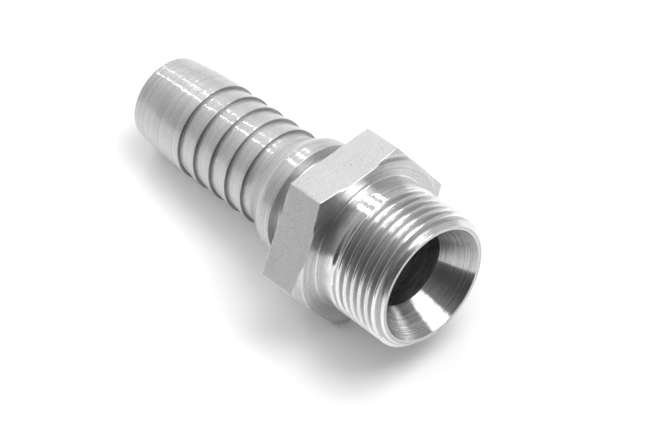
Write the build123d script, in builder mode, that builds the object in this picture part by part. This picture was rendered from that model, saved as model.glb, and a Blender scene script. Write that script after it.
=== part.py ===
from build123d import *
import os
from math import asin, atan2, cos, degrees, hypot, radians, sin, tan

# Hydraulic hose tail: a ribbed tail for a crimped hose, a locking collar, a spanner hexagon and a
# parallel pipe thread with a 60 degree cone seat, all turned from one piece of hexagon bar.
# Every station is a distance in millimetres back from the open end face, along the fitting's axis.

os.makedirs("parts", exist_ok=True)

# Parallel pipe thread, G 3/4: the blank it is cut on, over its crests
thread_major_d = 26.441
end_chamfer = 1.35

# Cone seat and waterway
mouth_d = 22.4
seat_half_angle = 30.0
bore_d = 15.2
bore_edge = 0.3

# Spanner hexagon, its front corners turned back along a shallow, slightly crowned slope
hex_af = 32.0
hex_front = 16.0
hex_length = 8.5
hex_chamfer_d = 32.5
hex_chamfer_angle = 20.0
hex_chamfer_crown = 50.0
hex_sides = 6
corner_clearance = 1.0

# Locking groove and flared collar, gripped by the hose ferrule
groove_d = 18.6
groove_length = 6.0
collar_d = 23.4
collar_rim = 3.1
flare_angle = 30.0
flare_blend = 3.5

# Barbed tail and nose
land_length = 2.4
crest_d = 19.6
root_d = 18.4
crest_land = 0.3
barb_pitch = 4.45
barb_count = 5
shoulder_d = 18.9
shoulder_length = 7.9
nose_d = 17.4
nose_length = 14.7
nose_round = 0.95

# Radii and stations worked out from the sizes above
hex_r = hex_af / 2
flat_half_angle = 180 / hex_sides
major_r = thread_major_d / 2
bore_r = bore_d / 2
groove_r = groove_d / 2
shoulder_r = shoulder_d / 2
mouth_r = mouth_d / 2
collar_r = collar_d / 2
crest_r = crest_d / 2
root_r = root_d / 2
nose_r = nose_d / 2
hex_back = hex_front + hex_length
collar_front = hex_back + groove_length
flare_front = collar_front + collar_rim
flare_back = flare_front + (collar_r - root_r) / tan(radians(flare_angle))
first_drop = flare_back + land_length
drops = [first_drop + barb_pitch * i for i in range(barb_count)]
tail_end = drops[-1] + nose_length
seat_depth = (mouth_r - bore_r) / tan(radians(seat_half_angle))

# The fitting rests on the back edge of one spanner flat and on its nose or its lowest barb crest,
# so its axis leans up towards the thread by the flattest of those slopes.
nose_run = tail_end - nose_round - hex_back
nose_drop = hex_r - nose_r + nose_round
nose_slope = atan2(nose_drop, nose_run) - asin(nose_round / hypot(nose_drop, nose_run))
shoulder_station = drops[-1] + shoulder_length
shoulder_slope = atan2(hex_r - shoulder_r, shoulder_station - hex_back)
crest_slope = atan2(hex_r - crest_r, drops[-1] + crest_land - hex_back)
lean = min(nose_slope, shoulder_slope, crest_slope)

# The origin is the middle of the open end face, +Z is up, and the thread points towards +X.
out_dir = Vector(cos(lean), 0, sin(lean))
up_dir = Vector(-sin(lean), 0, cos(lean))
fitting_axis = Axis((0, 0, 0), out_dir)
end_plane = Plane(origin=(0, 0, 0), x_dir=up_dir, z_dir=out_dir)
profile_plane = Plane(origin=(0, 0, 0), x_dir=up_dir, z_dir=(0, 1, 0))


def at(radius, station):
    """A point of a turned profile."""
    return (radius, -station)


def barb_points():
    """The saw teeth, from the collar to the nose: a step up, a short land, a long ramp down."""
    points = []
    for drop in drops:
        points += [at(root_r, drop), at(crest_r, drop), at(crest_r, drop + crest_land)]
    return points


with BuildPart() as hexagon:
    with BuildSketch(end_plane.offset(-hex_back)):
        RegularPolygon(hex_r, hex_sides, major_radius=False, rotation=flat_half_angle)
    extrude(amount=hex_length)
    chamfer_r = hex_chamfer_d / 2
    clear_r = hex_r / cos(radians(flat_half_angle)) + corner_clearance
    chamfer_back = hex_front + (clear_r - chamfer_r) * tan(radians(hex_chamfer_angle))
    with BuildSketch(profile_plane):
        with BuildLine():
            Polyline(
                at(chamfer_r, hex_front),
                at(clear_r, hex_front),
                at(clear_r, chamfer_back),
            )
            RadiusArc(at(clear_r, chamfer_back), at(chamfer_r, hex_front), -hex_chamfer_crown)
        make_face()
    revolve(axis=fitting_axis, mode=Mode.SUBTRACT)

with BuildPart() as hose_tail:
    # The turned outside, from the end face back to the nose
    with BuildSketch(profile_plane):
        with BuildLine():
            Polyline(
                at(0, 0),
                at(major_r - end_chamfer, 0),
                at(major_r, end_chamfer),
                at(major_r, hex_front),
                at(groove_r, hex_front),
                at(groove_r, collar_front),
                at(collar_r, collar_front),
            )
            flare = FilletPolyline(
                at(collar_r, collar_front),
                at(collar_r, flare_front),
                at(root_r, flare_back),
                at(root_r, first_drop),
                radius=flare_blend,
            )
            Polyline(
                *barb_points(),
                at(shoulder_r, shoulder_station),
                at(nose_r, tail_end - nose_round),
            )
            RadiusArc(
                at(nose_r, tail_end - nose_round),
                at(nose_r - nose_round, tail_end),
                nose_round,
            )
            Polyline(at(nose_r - nose_round, tail_end), at(0, tail_end), at(0, 0))
        make_face()
    revolve(axis=fitting_axis)
    add(hexagon.part)

    # The cone seat and the waterway through to the nose
    with BuildSketch(profile_plane):
        with BuildLine():
            Polyline(
                at(0, 0),
                at(mouth_r, 0),
                at(bore_r, seat_depth),
                at(bore_r, tail_end - bore_edge),
                at(bore_r + bore_edge, tail_end),
                at(0, tail_end),
                close=True,
            )
        make_face()
    revolve(axis=fitting_axis, mode=Mode.SUBTRACT)

hose_tail.part.label = "hose_tail"
export_step(hose_tail.part, "parts/hose_tail.step")
print("lean", degrees(lean), "volume", hose_tail.part.volume, hose_tail.part.bounding_box())
print("drops", drops, "tail end", tail_end, "centre of mass", hose_tail.part.center(CenterOf.MASS))
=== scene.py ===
# %% [markdown]
# # A zinc-plated hydraulic hose tail
# The part is one piece of hexagon steel bar, turned in a lathe: a pipe thread with a coned mouth, a spanner
# hexagon, a locking groove and collar, and a ribbed tail that goes into a hose. It lies on its hexagon and
# its nose. Every length below is in millimetres until the mesh is finished, because that is how a turner
# reads a drawing, and the finished mesh is then scaled to metres and leaned over to where the solid lies.

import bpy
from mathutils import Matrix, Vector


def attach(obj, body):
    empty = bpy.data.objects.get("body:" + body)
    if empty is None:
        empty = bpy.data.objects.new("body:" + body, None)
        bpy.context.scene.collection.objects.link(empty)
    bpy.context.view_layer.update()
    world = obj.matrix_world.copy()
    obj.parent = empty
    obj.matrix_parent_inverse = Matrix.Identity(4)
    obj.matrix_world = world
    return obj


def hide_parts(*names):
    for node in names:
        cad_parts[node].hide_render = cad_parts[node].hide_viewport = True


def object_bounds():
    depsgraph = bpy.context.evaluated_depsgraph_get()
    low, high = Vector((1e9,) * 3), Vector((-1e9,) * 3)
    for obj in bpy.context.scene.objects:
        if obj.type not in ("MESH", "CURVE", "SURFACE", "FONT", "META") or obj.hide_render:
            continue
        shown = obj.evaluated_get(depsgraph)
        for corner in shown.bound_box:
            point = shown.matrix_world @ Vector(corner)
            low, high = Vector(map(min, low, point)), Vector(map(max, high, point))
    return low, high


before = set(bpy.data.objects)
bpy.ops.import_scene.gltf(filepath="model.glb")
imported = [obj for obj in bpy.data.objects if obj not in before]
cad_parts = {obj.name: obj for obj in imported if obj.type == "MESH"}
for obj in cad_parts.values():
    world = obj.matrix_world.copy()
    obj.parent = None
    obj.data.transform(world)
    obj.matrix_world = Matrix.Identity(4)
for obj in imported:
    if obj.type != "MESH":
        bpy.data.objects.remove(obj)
cad_box = [[float(c) for c in corner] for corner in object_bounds()]
print("solid's box", cad_box)

# %% Blender's modules
from math import asin, atan2, cos, degrees, hypot, pi, radians, sin, tan

import bmesh
import bpy
from mathutils import Matrix, Vector, noise

MM = 0.001
print("one millimetre is", MM, "m")

# %% [markdown]
# ## The drawing
# A turned part is drawn as half a section. A station is the distance back from the open end face along the
# axis. The main sizes are the same as the solid's, so the dressed part fills the same box. The thread, the
# small washer face in front of the hexagon and the broken edges are added here.

# %% Sizes on the drawing
THREAD_R = 13.2205
THREAD_PITCH = 1.814
THREAD_DEPTH = 1.162
THREAD_ROUND = 0.145
THREAD_FOOT = 12.2
THREAD_FADE = 0.8
END_CHAMFER = 1.35
MOUTH_R = 11.2
SEAT_HALF_ANGLE = radians(30)
BORE_R = 7.6
NOSE_LIP = 0.12
HEX_R = 16.0
HEX_FRONT = 16.0
HEX_BACK = 24.5
FACE_R = 16.3
FACE_FOOT_R = 16.6
FACE_HEIGHT = 0.5
HEX_CORNER = 16.87
GROOVE_R = 9.3
COLLAR_FRONT = 30.5
COLLAR_R = 11.7
COLLAR_RIM = 3.1
FLARE_ANGLE = radians(30)
FLARE_BLEND = 3.5
LAND_LENGTH = 2.4
CREST_R = 9.8
ROOT_R = 9.2
CREST_LAND = 0.3
BARB_PITCH = 4.45
BARB_COUNT = 5
SHOULDER_R = 9.45
SHOULDER_LENGTH = 7.9
NOSE_R = 8.7
NOSE_LENGTH = 14.7
NOSE_ROUND = 0.95

FLARE_FRONT = COLLAR_FRONT + COLLAR_RIM
FLARE_BACK = FLARE_FRONT + (COLLAR_R - ROOT_R) / tan(FLARE_ANGLE)
FIRST_DROP = FLARE_BACK + LAND_LENGTH
DROPS = [FIRST_DROP + BARB_PITCH * i for i in range(BARB_COUNT)]
SHOULDER = DROPS[-1] + SHOULDER_LENGTH
TAIL_END = DROPS[-1] + NOSE_LENGTH
SEAT_DEPTH = (MOUTH_R - BORE_R) / tan(SEAT_HALF_ANGLE)
print("barb drops at", [round(d, 2) for d in DROPS], "tail end at", round(TAIL_END, 2))

# %% [markdown]
# ## How it lies
# The back edge of the hexagon's lowest flat and the nose touch the floor, so the axis leans up towards the
# thread. The angle follows from the tangent between that edge and the rounding of the nose.

# %% The lean and the matrix that lays the part down
run = TAIL_END - NOSE_ROUND - HEX_BACK
drop = HEX_R - NOSE_R + NOSE_ROUND
LEAN = atan2(drop, run) - asin(NOSE_ROUND / hypot(drop, run))
OUT = Vector((cos(LEAN), 0, sin(LEAN)))
UP = Vector((-sin(LEAN), 0, cos(LEAN)))
SIDE = UP.cross(OUT)
LAY_DOWN = Matrix((OUT, SIDE, UP)).transposed().to_4x4() @ Matrix.Scale(MM, 4)
print("lean", round(degrees(LEAN), 2), "degrees")

# %% [markdown]
# ## Turning a profile
# A lathe makes a round part by moving a tool along a profile while the bar turns. In Blender a row of
# vertices joined by edges is the profile, bmesh.ops.bevel on a vertex rounds a corner of it as the tool's
# nose does, and bmesh.ops.spin turns it round the axis. Smooth shading blends the normals at the ends of a
# face, so a long cone next to a small rounding would shade as if it were bent. A support vertex just inside
# each end of every long edge keeps it straight in the light. While it is worked on, the part's axis is X,
# with the thread towards +X and the hexagon's upper flat towards +Z.

# %% The turning helper
STEPS = 240
AXIS = Vector((1, 0, 0))
ORIGIN = Vector((0, 0, 0))
LONG_EDGE = 0.25
SUPPORT = 0.03
DOUBLES = 0.0005


def turn(bm, corners):
    """Spins a profile once round the axis. Each corner is (radius, station, rounding, segments)."""
    verts = [bm.verts.new((-station, 0, radius)) for radius, station, _, _ in corners]
    for pair in zip(verts, verts[1:]):
        bm.edges.new(pair)
    for vert, (_, _, size, segments) in zip(verts, corners):
        if size:
            bmesh.ops.bevel(
                bm,
                geom=[vert],
                offset=size,
                offset_type="OFFSET",
                segments=segments,
                profile=0.5,
                affect="VERTICES",
                material=-1,
            )
    for edge in [e for e in bm.edges if e.calc_length() > LONG_EDGE]:
        start, end = edge.verts
        part = SUPPORT / edge.calc_length()
        piece, _ = bmesh.utils.edge_split(edge, start, part)
        rest = max(edge, piece, key=lambda e: e.calc_length())
        bmesh.utils.edge_split(rest, end, part)
    chain = bm.verts[:] + bm.edges[:]
    bmesh.ops.spin(
        bm, geom=chain, cent=ORIGIN, axis=AXIS, dvec=ORIGIN, angle=2 * pi, steps=STEPS, use_merge=True
    )
    bmesh.ops.remove_doubles(bm, verts=bm.verts[:], dist=DOUBLES)


print("one turn is made of", STEPS, "steps")

# %% [markdown]
# ## The turned body
# This is everything but the thread, in one profile: the neck, the small washer face, the blank of the
# hexagon with its corners turned back, the locking groove, the collar with its S-shaped flare, five barbs,
# the nose, and then back through the waterway and out along the coned seat to the end face. Each barb steps
# up, runs level for a hair and slopes down to the next step, so that a hose slides on and bites when it is
# pulled. The tiny roundings on the crests and lips are what catches the light, as on a real edge that has
# been through a plating barrel. The nose's rounding is a hair smaller than the room for it, so that it
# doesn't fold, and the end face stops a hair inside the thread's chamfer.

# %% The body's profile
HEX_BLANK_R = 18.8
NECK_START = THREAD_FOOT + 1.2
NECK_FILLET = 0.3
WASHER_ROUND = 0.1
BACK_RING_R = HEX_R - 0.3
GROOVE_FILLET = 0.3
COLLAR_ROUND = 0.12
ROOT_FILLET = 0.04
CREST_ROUND = 0.07
SHOULDER_BLEND = 1.5
NOSE_FIT = 0.999
SEAT_ROUND = 0.12
MOUTH_ROUND = 0.08
END_R = THREAD_R - END_CHAMFER - 0.02
flare_reach = FLARE_BLEND * tan(FLARE_ANGLE / 2)

corners = [
    (THREAD_R, NECK_START, 0, 1),
    (THREAD_R, HEX_FRONT, NECK_FILLET, 5),
    (FACE_R, HEX_FRONT, WASHER_ROUND, 3),
    (FACE_FOOT_R, HEX_FRONT + FACE_HEIGHT, WASHER_ROUND, 3),
    (HEX_BLANK_R, HEX_CORNER, 0, 1),
    (HEX_BLANK_R, HEX_BACK, 0, 1),
    (BACK_RING_R, HEX_BACK, 0, 1),
    (GROOVE_R, HEX_BACK, GROOVE_FILLET, 4),
    (GROOVE_R, COLLAR_FRONT, GROOVE_FILLET, 4),
    (COLLAR_R, COLLAR_FRONT, COLLAR_ROUND, 4),
    (COLLAR_R, FLARE_FRONT, flare_reach, 12),
    (ROOT_R, FLARE_BACK, flare_reach, 12),
]
for barb in DROPS:
    corners += [
        (ROOT_R, barb, ROOT_FILLET, 2),
        (CREST_R, barb, CREST_ROUND, 3),
        (CREST_R, barb + CREST_LAND, CREST_ROUND, 3),
    ]
corners += [
    (SHOULDER_R, SHOULDER, SHOULDER_BLEND, 6),
    (NOSE_R, TAIL_END - NOSE_ROUND, 0, 1),
    (NOSE_R, TAIL_END, NOSE_ROUND * NOSE_FIT, 12),
    (BORE_R + NOSE_LIP, TAIL_END, 0, 1),
    (BORE_R, TAIL_END - NOSE_LIP, 0, 1),
    (BORE_R, SEAT_DEPTH, SEAT_ROUND, 4),
    (MOUTH_R, 0, MOUTH_ROUND, 3),
    (END_R, 0, 0, 1),
]
body = bmesh.new()
turn(body, corners)
print("turned body", len(body.verts), "vertices")

# %% [markdown]
# ## The hexagon
# The bar was hexagonal before it was turned, so its flats are what the tool never reached. Here it goes the
# other way round: the round blank is cut by six planes with bisect_plane, 16 mm from the axis, which leaves
# exactly the curved line where a flat meets the turned front. Each cut is closed by one face.

# %% Cutting the six flats
ON_PLANE = 0.0001
FLAT_SLACK = 0.001
flat_normals = [Vector((0, cos(radians(90 + 60 * i)), sin(radians(90 + 60 * i)))) for i in range(6)]
for outward in flat_normals:
    cut = bmesh.ops.bisect_plane(
        body,
        geom=body.verts[:] + body.edges[:] + body.faces[:],
        dist=ON_PLANE,
        plane_co=outward * HEX_R,
        plane_no=outward,
        clear_outer=True,
    )
    rim = [e for e in cut["geom_cut"] if isinstance(e, bmesh.types.BMEdge)]
    bmesh.ops.contextual_create(body, geom=rim)
bmesh.ops.recalc_face_normals(body, faces=body.faces[:])


def is_flat(face):
    """True for the six faces that lie on the hexagon's planes."""
    centre = face.calc_center_median()
    for n in flat_normals:
        if abs(centre.dot(n) - HEX_R) < FLAT_SLACK and abs(face.normal.dot(n)) > 1 - FLAT_SLACK:
            return True
    return False


flats = [f for f in body.faces if is_flat(f)]
print("flats", len(flats), "of", [round(f.calc_area(), 1) for f in flats], "square mm")

# %% [markdown]
# ## Broken edges
# A spanner flat never has a razor edge after plating. Each flat is inset, which leaves a narrow border, and
# the border's outer vertices move inwards, so that it slopes. Noise then knocks small chips out of the back
# edge, where parts hit each other in the barrel. The closest vertices of the rims are merged first, in
# order of their place, so that the border is even and every run gives the same mesh.

# %% Breaking the hexagon's edges
HEX_EDGE = 0.09
HEX_BREAK = 0.035
HEX_CHIP = 0.14
CHIPS_PER_MM = 1.7
RIM_SPACING = 0.12
BACK_EDGE = 0.1
rim_verts = sorted({v for f in flats for v in f.verts}, key=lambda v: v.co.to_tuple(4))
bmesh.ops.remove_doubles(body, verts=rim_verts, dist=RIM_SPACING)
flats = [f for f in body.faces if is_flat(f)]
broken = {v: ORIGIN.copy() for f in flats for v in f.verts}
for f in flats:
    for v in f.verts:
        broken[v] -= f.normal * HEX_BREAK
bmesh.ops.inset_individual(body, faces=flats, thickness=HEX_EDGE, depth=0, use_even_offset=True)
for v, inward in broken.items():
    v.co += inward
    if v.co.x < -HEX_BACK + BACK_EDGE:
        v.co.x += HEX_CHIP * max(noise.noise(v.co * CHIPS_PER_MM), 0)
print("edges of", len(flats), "flats broken at", len(broken), "vertices")

# %% [markdown]
# ## The thread
# A parallel pipe thread is a 55 degree groove with rounded crests and roots, cut by moving the tool one pitch
# along for each turn of the work. spin does the same when it is given dvec: every step turns the one-pitch
# profile a little and moves it along, and neighbouring turns meet along the crest. The tool's path starts in
# front of the end face and runs out of the metal over most of a turn at the foot, so the groove gets
# shallower there, and the end is turned to a 45 degree chamfer.

# %% The thread's profile, one pitch long
THREAD_TURNS = 10
TURNS_BEHIND = 7
CREST_AT_TOP = 2.08
FLANK = radians(27.5)
LONG_FLANK = 0.5
flank_reach = THREAD_DEPTH * tan(FLANK)
root_half = (THREAD_PITCH - 2 * flank_reach) / 4
groove_half = flank_reach + root_half
first_crest = CREST_AT_TOP + THREAD_PITCH * TURNS_BEHIND
middle = first_crest + THREAD_PITCH / 2
root_r = THREAD_R - THREAD_DEPTH

thread = bmesh.new()
flank_points = [
    (THREAD_R, first_crest),
    (THREAD_R, middle - groove_half),
    (root_r, middle - root_half),
    (root_r, middle + root_half),
    (THREAD_R, middle + groove_half),
    (THREAD_R, first_crest + THREAD_PITCH),
]
row = [thread.verts.new((-station, 0, radius)) for radius, station in flank_points]
for pair in zip(row, row[1:]):
    thread.edges.new(pair)
bmesh.ops.bevel(
    thread,
    geom=row[1:-1],
    offset=THREAD_ROUND,
    offset_type="OFFSET",
    segments=3,
    profile=0.5,
    affect="VERTICES",
    material=-1,
)
flanks = [e for e in thread.edges if e.calc_length() > LONG_FLANK]
bmesh.ops.subdivide_edges(thread, edges=flanks, cuts=2)
print("thread profile", len(thread.verts), "points, groove", round(2 * groove_half, 3), "mm wide")

# %% Winding one turn, and repeating it along the axis
bmesh.ops.spin(
    thread,
    geom=thread.verts[:] + thread.edges[:],
    cent=ORIGIN,
    axis=AXIS,
    dvec=AXIS * THREAD_PITCH / STEPS,
    angle=2 * pi,
    steps=STEPS,
    use_merge=False,
)
one_turn = thread.verts[:] + thread.edges[:] + thread.faces[:]
for i in range(1, THREAD_TURNS):
    copy = bmesh.ops.duplicate(thread, geom=one_turn)["geom"]
    moved = [v for v in copy if isinstance(v, bmesh.types.BMVert)]
    bmesh.ops.translate(thread, verts=moved, vec=AXIS * THREAD_PITCH * i)
bmesh.ops.remove_doubles(thread, verts=thread.verts[:], dist=2 * DOUBLES)
print("thread", len(thread.verts), "vertices")

# %% Its run-out at the foot and the chamfer at the end
FOOT_ANGLE = radians(60)
END_TRIM = 0.03
FOOT_TRIM = 0.1


def smooth(t):
    """Rises from 0 to 1 with no corner at either end."""
    t = min(max(t, 0), 1)
    return t * t * (3 - 2 * t)


for v in thread.verts:
    station, radius = -v.co.x, hypot(v.co.y, v.co.z)
    turned = (atan2(v.co.z, v.co.y) - FOOT_ANGLE) / (2 * pi) % 1
    groove = round((THREAD_FOOT - station) / THREAD_PITCH - turned)
    depth = (THREAD_R - radius) * smooth((groove + turned) / THREAD_FADE)
    chamfered = END_R + max(station, 0)
    wanted = min(THREAD_R - depth, chamfered)
    v.co.y *= wanted / radius
    v.co.z *= wanted / radius

for station, outward in ((END_TRIM, AXIS), (NECK_START - FOOT_TRIM, -AXIS)):
    bmesh.ops.bisect_plane(
        thread,
        geom=thread.verts[:] + thread.edges[:] + thread.faces[:],
        dist=ON_PLANE,
        plane_co=(-station, 0, 0),
        plane_no=outward,
        clear_outer=True,
    )
print("thread trimmed to", len(thread.verts), "vertices")

# %% [markdown]
# ## One piece
# The thread and the body are one piece of steel, so their meshes are joined. The thread was trimmed a hair
# behind the end face and a hair before the neck, so there is a narrow gap at either end. bridge_loops closes
# both with a ring of faces, and leaves one closed surface.

# %% Joining thread and body
GAP_REACH = 0.5
spare = bpy.data.meshes.new("thread")
thread.to_mesh(spare)
thread.free()
body.from_mesh(spare)
bpy.data.meshes.remove(spare)
for station in (0, NECK_START):
    boundary = [e for e in body.edges if e.is_boundary]
    rims = [e for e in boundary if all(abs(v.co.x + station) < GAP_REACH for v in e.verts)]
    bridge = bmesh.ops.bridge_loops(body, edges=rims)
    print("at station", station, "rims of", len(rims), "edges closed by", len(bridge["faces"]), "faces")
bmesh.ops.recalc_face_normals(body, faces=body.faces[:])
print("open edges left", sum(e.is_boundary for e in body.edges))
print("volume", round(body.calc_volume(signed=True)), "cubic mm")

# %% [markdown]
# ## Zones of finish and of painted light
# The whole piece is zinc plated, but each tool left its own surface: fine rings where it was turned, a dull
# speckled skin on the drawn flats with a broken edge, a polished cone in the mouth and a satin tail. Some
# zones
# carry painted light as well: the broken edge is painted brighter as a highlight, the steps of the barbs are
# painted darker as shade, the thread grooves are painted greyer than their crests as shade, the waterway is
# painted darker as shade inside the bore, and the hexagon's front face is painted darker than the turned neck
# as shade. A face belongs to a zone by its place and by the way it faces, so the zones are picked before the
# part is laid down.

# %% Picking the zones
ZONES = 10
TURNED, FLATS, SEAT, WATERWAY, RECESS, TAIL, EDGE, FACE, GROOVE, DROP = range(ZONES)
HAIR = 0.02
SLACK = 0.1
STEP = 0.2
GROOVE_FROM = 0.3
HEX_SKIN_R = HEX_R - 0.5
FLAT_FACING = 0.99
EDGE_FACING = 0.9
DROP_FACING = 0.6
SHARP = radians(35)


def zone(face):
    """The zone, of finish and of painted light, that a face of the standing part belongs to."""
    centre = face.calc_center_median()
    station, radius = -centre.x, hypot(centre.y, centre.z)
    if HEX_FRONT < station < HEX_BACK and radius > HEX_SKIN_R:
        facing = max(face.normal.dot(n) for n in flat_normals)
        if facing > FLAT_FACING:
            return FLATS
        # The sloping border round each flat is the real broken edge, painted brighter as a highlight.
        if facing > EDGE_FACING:
            return EDGE
    if station < THREAD_FOOT + THREAD_PITCH and radius > MOUTH_R + STEP:
        crest = min(THREAD_R, THREAD_R - END_CHAMFER + station)
        # Faces deeper than GROOVE_FROM under the crest are the thread's grooves, painted greyer as shade.
        return GROOVE if radius < crest - GROOVE_FROM else TURNED
    # The hexagon's turned front face is painted darker than the neck as shade.
    if HEX_FRONT - HAIR < station < HEX_CORNER + SLACK and radius > THREAD_R + STEP:
        return FACE
    # The waterway inside the bore is painted darker as shade.
    if station > SEAT_DEPTH and radius < BORE_R + HAIR:
        return WATERWAY
    if station < SEAT_DEPTH + SLACK and radius < MOUTH_R + HAIR:
        return SEAT
    in_groove = HEX_BACK - SLACK < station < COLLAR_FRONT + SLACK
    if in_groove and (radius < COLLAR_R - STEP or station < COLLAR_FRONT - 1):
        return RECESS
    # The steps of the barbs, which face the hexagon, are painted darker as shade.
    if station > FLARE_BACK and face.normal.x > DROP_FACING:
        return DROP
    return TAIL if station > HEX_BACK else TURNED


body.normal_update()
for f in body.faces:
    f.smooth = True
    f.material_index = zone(f)
for e in body.edges:
    e.smooth = e.calc_face_angle() < SHARP
for f in flats:
    for e in f.edges:
        e.smooth = False
counts = [sum(f.material_index == z for f in body.faces) for z in range(ZONES)]
print("faces in each zone:", counts)

# %% [markdown]
# ## Laying it down
# The mesh is turned and scaled as a whole, so that the finished object sits at the origin, unturned and
# unscaled, with its place in its mesh. It rides on the part's one body and stands in for the plain solid.

# %% Laying the part down
bmesh.ops.transform(body, matrix=LAY_DOWN, verts=body.verts[:])
mesh = bpy.data.meshes.new("plated_hose_tail")
body.to_mesh(mesh)
body.free()
hose_tail = bpy.data.objects.new("plated_hose_tail", mesh)
bpy.context.scene.collection.objects.link(hose_tail)
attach(hose_tail, "root")
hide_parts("hose_tail")
print("plated_hose_tail has", len(mesh.polygons), "faces")

# %% [markdown]
# ## Node helpers
# A material is a small network. These two helpers make a node with its values set, and join two sockets, so
# that the cells below read like the network itself. A node's properties go first, because some of them
# decide which inputs it has.


# %% Making and joining nodes
def node(tree, kind, label, inputs=None, **properties):
    """A new node with its properties and the values of its inputs, by name or by number."""
    made = tree.nodes.new(kind)
    made.label = label
    for name, value in properties.items():
        setattr(made, name, value)
    for key, value in (inputs or {}).items():
        made.inputs[key].default_value = value
    return made


def join(tree, source, target):
    """A link from (node, output) to (node, input)."""
    tree.links.new(source[0].outputs[source[1]], target[0].inputs[target[1]])


def grey(value):
    """A neutral colour."""
    return (value, value, value, 1)


print("a light grey is", grey(0.8))

# %% [markdown]
# ## Turning grain
# A lathe tool leaves rings. Seen along the axis they repeat with the station, and seen on a face they repeat
# with the radius, so the sum of the two is one coordinate that draws rings on any turned surface. A little
# of the direction round the axis is added in the other two coordinates, so that the rings come and go as
# real ones do. All the finishes use this, so it is a node group. It puts out the fine rings and broader
# bands of the same grain.


# %% Where a point lies on a turned part
def turned_place(tree):
    """Nodes for the station plus the radius, in mm, and for the direction round the axis."""
    place = node(tree, "ShaderNodeTexCoord", "place on the part")
    upright = node(tree, "ShaderNodeMapping", "axis along X, in mm", vector_type="POINT")
    upright.inputs["Rotation"].default_value = (0, LEAN, 0)
    upright.inputs["Scale"].default_value = (1 / MM, 1 / MM, 1 / MM)
    split = node(tree, "ShaderNodeSeparateXYZ", "station and the rest")
    across = node(tree, "ShaderNodeCombineXYZ", "across the axis")
    radius = node(tree, "ShaderNodeVectorMath", "radius", operation="LENGTH")
    round_axis = node(tree, "ShaderNodeVectorMath", "direction round the axis", operation="NORMALIZE")
    ring_place = node(tree, "ShaderNodeMath", "station plus radius", operation="ADD")
    for source, target in (
        ((place, "Object"), (upright, "Vector")),
        ((upright, "Vector"), (split, "Vector")),
        ((split, "Y"), (across, "Y")),
        ((split, "Z"), (across, "Z")),
        ((across, "Vector"), (radius, 0)),
        ((across, "Vector"), (round_axis, 0)),
        ((split, "X"), (ring_place, 0)),
        ((radius, "Value"), (ring_place, 1)),
    ):
        join(tree, source, target)
    return ring_place, round_axis


print("the grain leans back by", round(degrees(LEAN), 2), "degrees")

# %% The turning grain group
BAND_STRETCH = (0.2, 1.6, 1.6)
grain = bpy.data.node_groups.new("turning_grain", "ShaderNodeTree")
for name, value in (("Fineness", 5.0), ("Wander", 1.0)):
    socket = grain.interface.new_socket(name, in_out="INPUT", socket_type="NodeSocketFloat")
    socket.default_value = value
grain.interface.new_socket("Rings", in_out="OUTPUT", socket_type="NodeSocketFloat")
grain.interface.new_socket("Bands", in_out="OUTPUT", socket_type="NodeSocketFloat")

given = node(grain, "NodeGroupInput", "given")
result = node(grain, "NodeGroupOutput", "result")
ring_place, round_axis = turned_place(grain)
wander = node(grain, "ShaderNodeVectorMath", "wander", operation="SCALE")
finer = node(grain, "ShaderNodeMath", "fineness", operation="MULTIPLY")
along = node(grain, "ShaderNodeCombineXYZ", "along the rings")
grain_place = node(grain, "ShaderNodeVectorMath", "ring coordinate", operation="ADD")
fine = node(grain, "ShaderNodeTexNoise", "fine rings", {"Scale": 1.0, "Detail": 4.0, "Roughness": 0.7})
broader = node(grain, "ShaderNodeVectorMath", "broader", {1: BAND_STRETCH}, operation="MULTIPLY")
broad = node(grain, "ShaderNodeTexNoise", "broad bands", {"Scale": 1.0, "Detail": 2.0, "Roughness": 0.5})
for source, target in (
    ((round_axis, "Vector"), (wander, 0)),
    ((given, "Wander"), (wander, "Scale")),
    ((ring_place, "Value"), (finer, 0)),
    ((given, "Fineness"), (finer, 1)),
    ((finer, "Value"), (along, "X")),
    ((along, "Vector"), (grain_place, 0)),
    ((wander, "Vector"), (grain_place, 1)),
    ((grain_place, "Vector"), (fine, "Vector")),
    ((grain_place, "Vector"), (broader, 0)),
    ((broader, "Vector"), (broad, "Vector")),
    ((fine, "Fac"), (result, "Rings")),
    ((broad, "Fac"), (result, "Bands")),
):
    join(grain, source, target)
print("turning_grain has", len(grain.nodes), "nodes")

# %% [markdown]
# ## Plating speckle
# Barrel plating leaves a faint mottle and a few pits and knocks where parts tumbled on each other. A fine
# noise is the mottle. Small dots in scattered cells are the pits, and only some of the cells keep theirs.

# %% The plating speckle group
CELLS_PER_MM = 1.1
PIT_CORE = 0.05
PIT_RIM = 0.18
PIT_CELLS_ABOVE = 0.56
speckle = bpy.data.node_groups.new("plating_speckle", "ShaderNodeTree")
socket = speckle.interface.new_socket("Size", in_out="INPUT", socket_type="NodeSocketFloat")
socket.default_value = 3.0
speckle.interface.new_socket("Mottle", in_out="OUTPUT", socket_type="NodeSocketFloat")
speckle.interface.new_socket("Pits", in_out="OUTPUT", socket_type="NodeSocketFloat")

given = node(speckle, "NodeGroupInput", "given")
result = node(speckle, "NodeGroupOutput", "result")
place = node(speckle, "ShaderNodeTexCoord", "place on the part")
in_mm = node(speckle, "ShaderNodeVectorMath", "in mm", operation="SCALE")
in_mm.inputs["Scale"].default_value = 1 / MM
mottle = node(speckle, "ShaderNodeTexNoise", "mottle", {"Detail": 5.0, "Roughness": 0.65})
cells = node(speckle, "ShaderNodeTexVoronoi", "scattered cells", {"Scale": CELLS_PER_MM, "Randomness": 1.0})
dots = node(speckle, "ShaderNodeMapRange", "small dots", {"To Min": 1.0, "To Max": 0.0})
dots.inputs["From Min"].default_value = PIT_CORE
dots.inputs["From Max"].default_value = PIT_RIM
few = node(speckle, "ShaderNodeMath", "some of the cells", {1: PIT_CELLS_ABOVE}, operation="GREATER_THAN")
chosen = node(speckle, "ShaderNodeMath", "chosen dots", operation="MULTIPLY")
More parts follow.
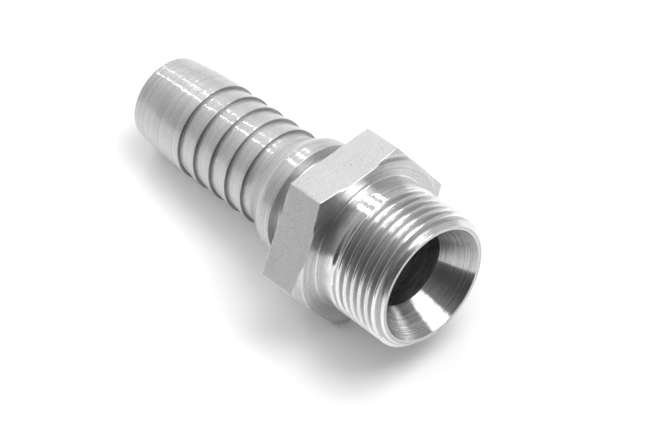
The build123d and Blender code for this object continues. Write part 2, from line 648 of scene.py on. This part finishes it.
for source, target in (
    ((place, "Object"), (in_mm, 0)),
    ((in_mm, "Vector"), (mottle, "Vector")),
    ((given, "Size"), (mottle, "Scale")),
    ((in_mm, "Vector"), (cells, "Vector")),
    ((cells, "Distance"), (dots, "Value")),
    ((mottle, "Fac"), (result, "Mottle")),
    ((cells, "Color"), (few, 0)),
    ((dots, "Result"), (chosen, 0)),
    ((few, "Value"), (chosen, 1)),
    ((chosen, "Value"), (result, "Pits")),
):
    join(speckle, source, target)
print("plating_speckle has", len(speckle.nodes), "nodes")

# %% [markdown]
# ## The finishes
# Each zone is the same plated steel with its own values: how light it is, how far the grain changes its
# lightness and roughness, and how deep the rings are. Turned steel also smears its highlights across the
# rings, which is the shader's anisotropy with the tangent running round the axis.

# %% A plated finish
GRAIN_LOW = 0.38
GRAIN_HIGH = 0.62
PIT_GREY = 0.12
SMEAR_TURN = 0.25


def plated(
    name,
    light,
    dark,
    roughness,
    spread=0.05,
    depth=0.006,
    fineness=5.0,
    wander=0.5,
    smear=0.0,
    mottle_size=2.5,
    mottle_share=0.3,
    pits=0.0,
):
    """A zinc-plated steel.

    light and dark are the ends of its grey, roughness and spread its polish, depth the rings' depth in mm.
    """
    steel = bpy.data.materials.new(name)
    steel.use_nodes = True
    tree = steel.node_tree
    shader = tree.nodes["Principled BSDF"]
    shader.inputs["Metallic"].default_value = 1.0
    shader.inputs["Anisotropic"].default_value = smear
    shader.inputs["Anisotropic Rotation"].default_value = SMEAR_TURN
    rings = node(tree, "ShaderNodeGroup", "rings", node_tree=grain)
    rings.inputs["Fineness"].default_value = fineness
    rings.inputs["Wander"].default_value = wander
    skin = node(tree, "ShaderNodeGroup", "skin", {"Size": mottle_size}, node_tree=speckle)
    share = node(tree, "ShaderNodeMix", "rings and mottle", {"Factor": mottle_share}, data_type="FLOAT")
    tone = node(tree, "ShaderNodeValToRGB", "tone")
    tone.color_ramp.elements[0].position = GRAIN_LOW
    tone.color_ramp.elements[0].color = grey(dark)
    tone.color_ramp.elements[1].position = GRAIN_HIGH
    tone.color_ramp.elements[1].color = grey(light)
    pit_share = node(tree, "ShaderNodeMath", "pits", {1: pits}, operation="MULTIPLY")
    pitted = node(tree, "ShaderNodeMix", "pitted", {"B": grey(PIT_GREY)}, data_type="RGBA")
    polish = node(tree, "ShaderNodeMapRange", "polish", {"From Min": 0.3, "From Max": 0.7})
    polish.inputs["To Min"].default_value = roughness + spread
    polish.inputs["To Max"].default_value = roughness - spread
    relief = node(tree, "ShaderNodeBump", "relief", {"Strength": 1.0, "Distance": depth * MM})
    for source, target in (
        ((rings, "Rings"), (share, "A")),
        ((skin, "Mottle"), (share, "B")),
        ((share, "Result"), (tone, "Fac")),
        ((skin, "Pits"), (pit_share, 0)),
        ((pit_share, "Value"), (pitted, "Factor")),
        ((tone, "Color"), (pitted, "A")),
        ((pitted, "Result"), (shader, "Base Color")),
        ((rings, "Bands"), (polish, "Value")),
        ((polish, "Result"), (shader, "Roughness")),
        ((share, "Result"), (relief, "Height")),
        ((relief, "Normal"), (shader, "Normal")),
    ):
        join(tree, source, target)
    if smear:
        tangent = node(tree, "ShaderNodeTangent", "way round the axis", direction_type="RADIAL", axis="X")
        join(tree, (tangent, "Tangent"), (shader, "Tangent"))
    mesh.materials.append(steel)
    print(name, "roughness", roughness, "relief", depth, "mm")
    return steel


# %% [markdown]
# ## Finish by finish
# The calls are in the order of the zones, because a face's material_index counts the mesh's materials. The
# neck, the crests and the seat are polished and smear their lights most. The flats were never turned, so
# they have no smear, a coarse mottle and most of the pits.

# %% The zones' values
plated("turned_zinc", 0.92, 0.64, 0.20, spread=0.03, fineness=6.0, smear=0.98, pits=0.15)
plated(
    "flat_zinc", 0.73, 0.54, 0.60,
    spread=0.04, depth=0.020, fineness=3.0, wander=2.0, mottle_size=5.0, mottle_share=0.8, pits=0.65,
)
plated(
    "seat_zinc", 0.72, 0.32, 0.24,
    spread=0.04, fineness=7.0, wander=0.4, smear=1.0, mottle_size=1.5, mottle_share=0.15,
)
# Painted shade: the waterway is darker than the turned zinc, for the shade inside the bore.
plated(
    "waterway_painted_shade_steel", 0.68, 0.34, 0.36,
    spread=0.08, depth=0.020, fineness=2.0, wander=1.0, smear=0.5, mottle_size=1.5,
)
plated("recess_zinc", 0.74, 0.52, 0.45, depth=0.010, wander=0.6, smear=0.5, mottle_size=1.5)
tail_zinc = plated("tail_zinc", 0.74, 0.50, 0.68, depth=0.014, fineness=6.0, smear=0.3, pits=0.15)
# Painted highlight: the broken edge is much brighter than the flats, for the light that its rounding catches.
plated("edge_painted_highlight_zinc", 0.95, 0.80, 0.45, depth=0.010, wander=1.0, mottle_size=3.0, mottle_share=0.8)
# Painted shade: the hexagon's front face is darker than the turned zinc of the neck.
plated("face_painted_shade_zinc", 0.74, 0.42, 0.36, spread=0.04, depth=0.008, wander=0.8, smear=0.9, pits=0.15)
# Painted shade: the thread's grooves are greyer than the crests, for the shade down between the crests.
plated("groove_painted_shade_zinc", 0.60, 0.44, 0.40, smear=0.6, pits=0.15)
# Painted shade: the steps of the barbs are much darker than the tail, for the shade on them.
plated("drop_painted_shade_zinc", 0.40, 0.28, 0.45, smear=0.3)
print("the piece has", len(mesh.materials), "finishes for", ZONES, "zones")

# %% [markdown]
# ## The film on the tail
# Plated zinc gets a thin clear film in its last bath. On the satin tail it shows as small sharp lights over
# the soft ones. The tool left shallow waves on the tail, so each sharp light breaks into a row of dots. The
# shader's coat is the film, and only the coat's normal follows the waves. One material has this, so its
# waves are in the material itself. They follow the same bands as its grain.

# %% The film and its waves
FILM = {"Coat Weight": 0.7, "Coat Roughness": 0.09, "Coat IOR": 2.4}
WAVE_HEIGHT = 0.13
WAVES_ALONG = 1.2
WAVES_ROUND = 0.8
film = tail_zinc.node_tree
shader = film.nodes["Principled BSDF"]
for name, value in FILM.items():
    shader.inputs[name].default_value = value
ring_place, round_axis = turned_place(film)
slower = node(film, "ShaderNodeMath", "waves along the part", {1: WAVES_ALONG}, operation="MULTIPLY")
along = node(film, "ShaderNodeCombineXYZ", "along the part")
about = node(film, "ShaderNodeVectorMath", "round the part", {"Scale": WAVES_ROUND}, operation="SCALE")
wave_place = node(film, "ShaderNodeVectorMath", "wave coordinate", operation="ADD")
waves = node(film, "ShaderNodeTexNoise", "waves", {"Scale": 1.0, "Detail": 2.0, "Roughness": 0.5})
swell = node(film, "ShaderNodeBump", "swell", {"Strength": 1.0, "Distance": WAVE_HEIGHT * MM})
for source, target in (
    ((ring_place, "Value"), (slower, 0)),
    ((slower, "Value"), (along, "X")),
    ((round_axis, "Vector"), (about, 0)),
    ((along, "Vector"), (wave_place, 0)),
    ((about, "Vector"), (wave_place, 1)),
    ((wave_place, "Vector"), (waves, "Vector")),
    ((waves, "Fac"), (swell, "Height")),
    ((swell, "Normal"), (shader, "Coat Normal")),
):
    join(film, source, target)
print("tail_zinc has", len(film.nodes), "nodes")

# %% [markdown]
# ## The floor
# The part lies on a sheet of white paper, at the height of the lowest point of the solid. The paper is
# drawn a little whiter for the camera, and in mirrors and glass, by Light Path, so that it is white with no
# more light on the part, and it keeps the part's shadow.

# %% The floor
PAPER_SIZE = 3
PAPER_GREY = 0.9
PAPER_LIFT = 0.06
floor_mesh = bpy.data.meshes.new("floor")
floor_form = bmesh.new()
bmesh.ops.create_grid(floor_form, x_segments=1, y_segments=1, size=PAPER_SIZE)
bmesh.ops.translate(floor_form, verts=floor_form.verts[:], vec=(0, 0, cad_box[0][2]))
floor_form.to_mesh(floor_mesh)
floor_form.free()
floor = bpy.data.objects.new("floor", floor_mesh)
bpy.context.scene.collection.objects.link(floor)
print("floor at", round(cad_box[0][2] / MM, 2), "mm")

# %% Its paper
paper = bpy.data.materials.new("white_paper")
paper.use_nodes = True
tree = paper.node_tree
sheet = tree.nodes["Principled BSDF"]
sheet.inputs["Base Color"].default_value = grey(PAPER_GREY)
sheet.inputs["Roughness"].default_value = 0.9
sheet.inputs["Specular IOR Level"].default_value = 0.1
sheet.inputs["Emission Color"].default_value = grey(1.0)
ray = node(tree, "ShaderNodeLightPath", "which ray")
seen = node(tree, "ShaderNodeMath", "seen or mirrored", operation="MAXIMUM")
through = node(tree, "ShaderNodeMath", "or seen through glass", operation="MAXIMUM")
lift = node(tree, "ShaderNodeMath", "how much whiter", {1: PAPER_LIFT}, operation="MULTIPLY")
for source, target in (
    ((ray, "Is Camera Ray"), (seen, 0)),
    ((ray, "Is Glossy Ray"), (seen, 1)),
    ((seen, "Value"), (through, 0)),
    ((ray, "Is Transmission Ray"), (through, 1)),
    ((through, "Value"), (lift, 0)),
    ((lift, "Value"), (sheet, "Emission Strength")),
):
    join(tree, source, target)
floor_mesh.materials.append(paper)
print("white_paper has", len(tree.nodes), "nodes")

# %% [markdown]
# ## Windows, skylight and board
# Bright metal shows what is round it, so its light is built as a room. Three narrow windows on one side draw
# the bars of light on the neck, and two small panes low down draw the dots on the sloping barbs. A large
# skylight lights the top softly, and a white board fills the other side. The board is hidden from mirrors,
# because it would lie over the windows on the neck. Each lamp faces the part from a direction.

# %% The lamps
SUBJECT = Vector((-0.03, 0, 0))
WINDOW_AWAY = 1.2
CEILING_AWAY = 1.7


def area_lamp(name, direction, away, size, power):
    """A rectangular lamp, in metres and watts, that faces the part from a direction."""
    lamp = bpy.data.lights.new(name, "AREA")
    lamp.shape = "RECTANGLE"
    lamp.size, lamp.size_y = size
    lamp.energy = power
    stand = bpy.data.objects.new(name, lamp)
    towards = Vector(direction).normalized()
    stand.location = SUBJECT + towards * away
    stand.rotation_euler = towards.to_track_quat("Z", "Y").to_euler()
    bpy.context.scene.collection.objects.link(stand)
    print(name, "at", [round(c, 2) for c in stand.location])
    return stand


for name, direction, size, power in (
    ("right_window", (-0.648, 0.044, 0.759), (0.12, 0.26), 0.8),
    ("left_window", (-0.643, 0.300, 0.704), (0.12, 0.26), 0.8),
    ("side_window", (-0.629, 0.491, 0.600), (0.06, 0.26), 0.3),
    ("low_right_pane", (-0.854, 0.095, 0.511), (0.05, 0.06), 0.4),
    ("low_left_pane", (-0.827, 0.352, 0.440), (0.05, 0.06), 0.4),
):
    area_lamp(name, direction, WINDOW_AWAY, size, power)
area_lamp("skylight", (0.22, 0.27, 0.93), CEILING_AWAY, (1.0, 1.0), 18)
board = area_lamp("white_board", (-0.12, -0.45, 0.88), CEILING_AWAY, (1.5, 1.5), 9)
board.visible_glossy = False

# %% [markdown]
# ## The room
# The walls are the world's colour: pale where the backdrop stands, and darker the further round from it.
# This is what gives the polished neck and the seat their dark sides.

# %% The walls
BACKDROP_WAY = (-0.6, 0.75, 0.1)
DARK_FROM = -0.8
PALE_FROM = 0.45
DARK_WALL = 0.07
PALE_WALL = 0.6
room = bpy.data.worlds.new("pale_room")
room.use_nodes = True
tree = room.node_tree
background = tree.nodes["Background"]
background.inputs["Strength"].default_value = 1.0
heading = node(tree, "ShaderNodeTexCoord", "direction")
aside = node(
    tree, "ShaderNodeVectorMath", "how far towards the backdrop", {1: BACKDROP_WAY}, operation="DOT_PRODUCT"
)
walls = node(
    tree,
    "ShaderNodeMapRange",
    "dark room to pale backdrop",
    {"From Min": DARK_FROM, "From Max": PALE_FROM, "To Min": DARK_WALL, "To Max": PALE_WALL},
    interpolation_type="SMOOTHSTEP",
)
for source, target in (
    ((heading, "Generated"), (aside, 0)),
    ((aside, "Value"), (walls, "Value")),
    ((walls, "Result"), (background, "Color")),
):
    join(tree, source, target)
bpy.context.scene.world = room
print("walls from", DARK_WALL, "to", PALE_WALL)

# %% [markdown]
# ## The camera
# A long lens looks down over the open end, along the part. A Blender camera looks along its own -Z with +Y
# up, so the directions to its right, above it and behind it are the columns of its rotation.

# %% The camera
IMAGE_WIDTH = 650
FOCAL_PIXELS = 2500
CAMERA_PLACE = Vector((177.713, -189.780, 350.627)) * MM
CAMERA_AZIMUTH = radians(-42.719)
CAMERA_ELEVATION = radians(51.928)
back = Vector(
    (
        cos(CAMERA_AZIMUTH) * cos(CAMERA_ELEVATION),
        sin(CAMERA_AZIMUTH) * cos(CAMERA_ELEVATION),
        sin(CAMERA_ELEVATION),
    )
)
right = Vector((-sin(CAMERA_AZIMUTH), cos(CAMERA_AZIMUTH), 0))
above = back.cross(right)
lens = bpy.data.cameras.new("camera")
lens.sensor_width = 36
lens.lens = FOCAL_PIXELS / IMAGE_WIDTH * lens.sensor_width
lens.clip_start, lens.clip_end = 0.01, 10
camera = bpy.data.objects.new("camera", lens)
camera.location = CAMERA_PLACE
camera.rotation_euler = Matrix((right, above, back)).transposed().to_euler()
bpy.context.scene.collection.objects.link(camera)
bpy.context.scene.camera = camera
bpy.context.scene.view_settings.view_transform = "Standard"
print("lens", round(lens.lens, 1), "mm")

# %% [markdown]
# ## Measuring
# The solid's box is written down before the end. The dressed part may not outgrow the
# solid.

# %% The solid's box
print("solid's box", cad_box)
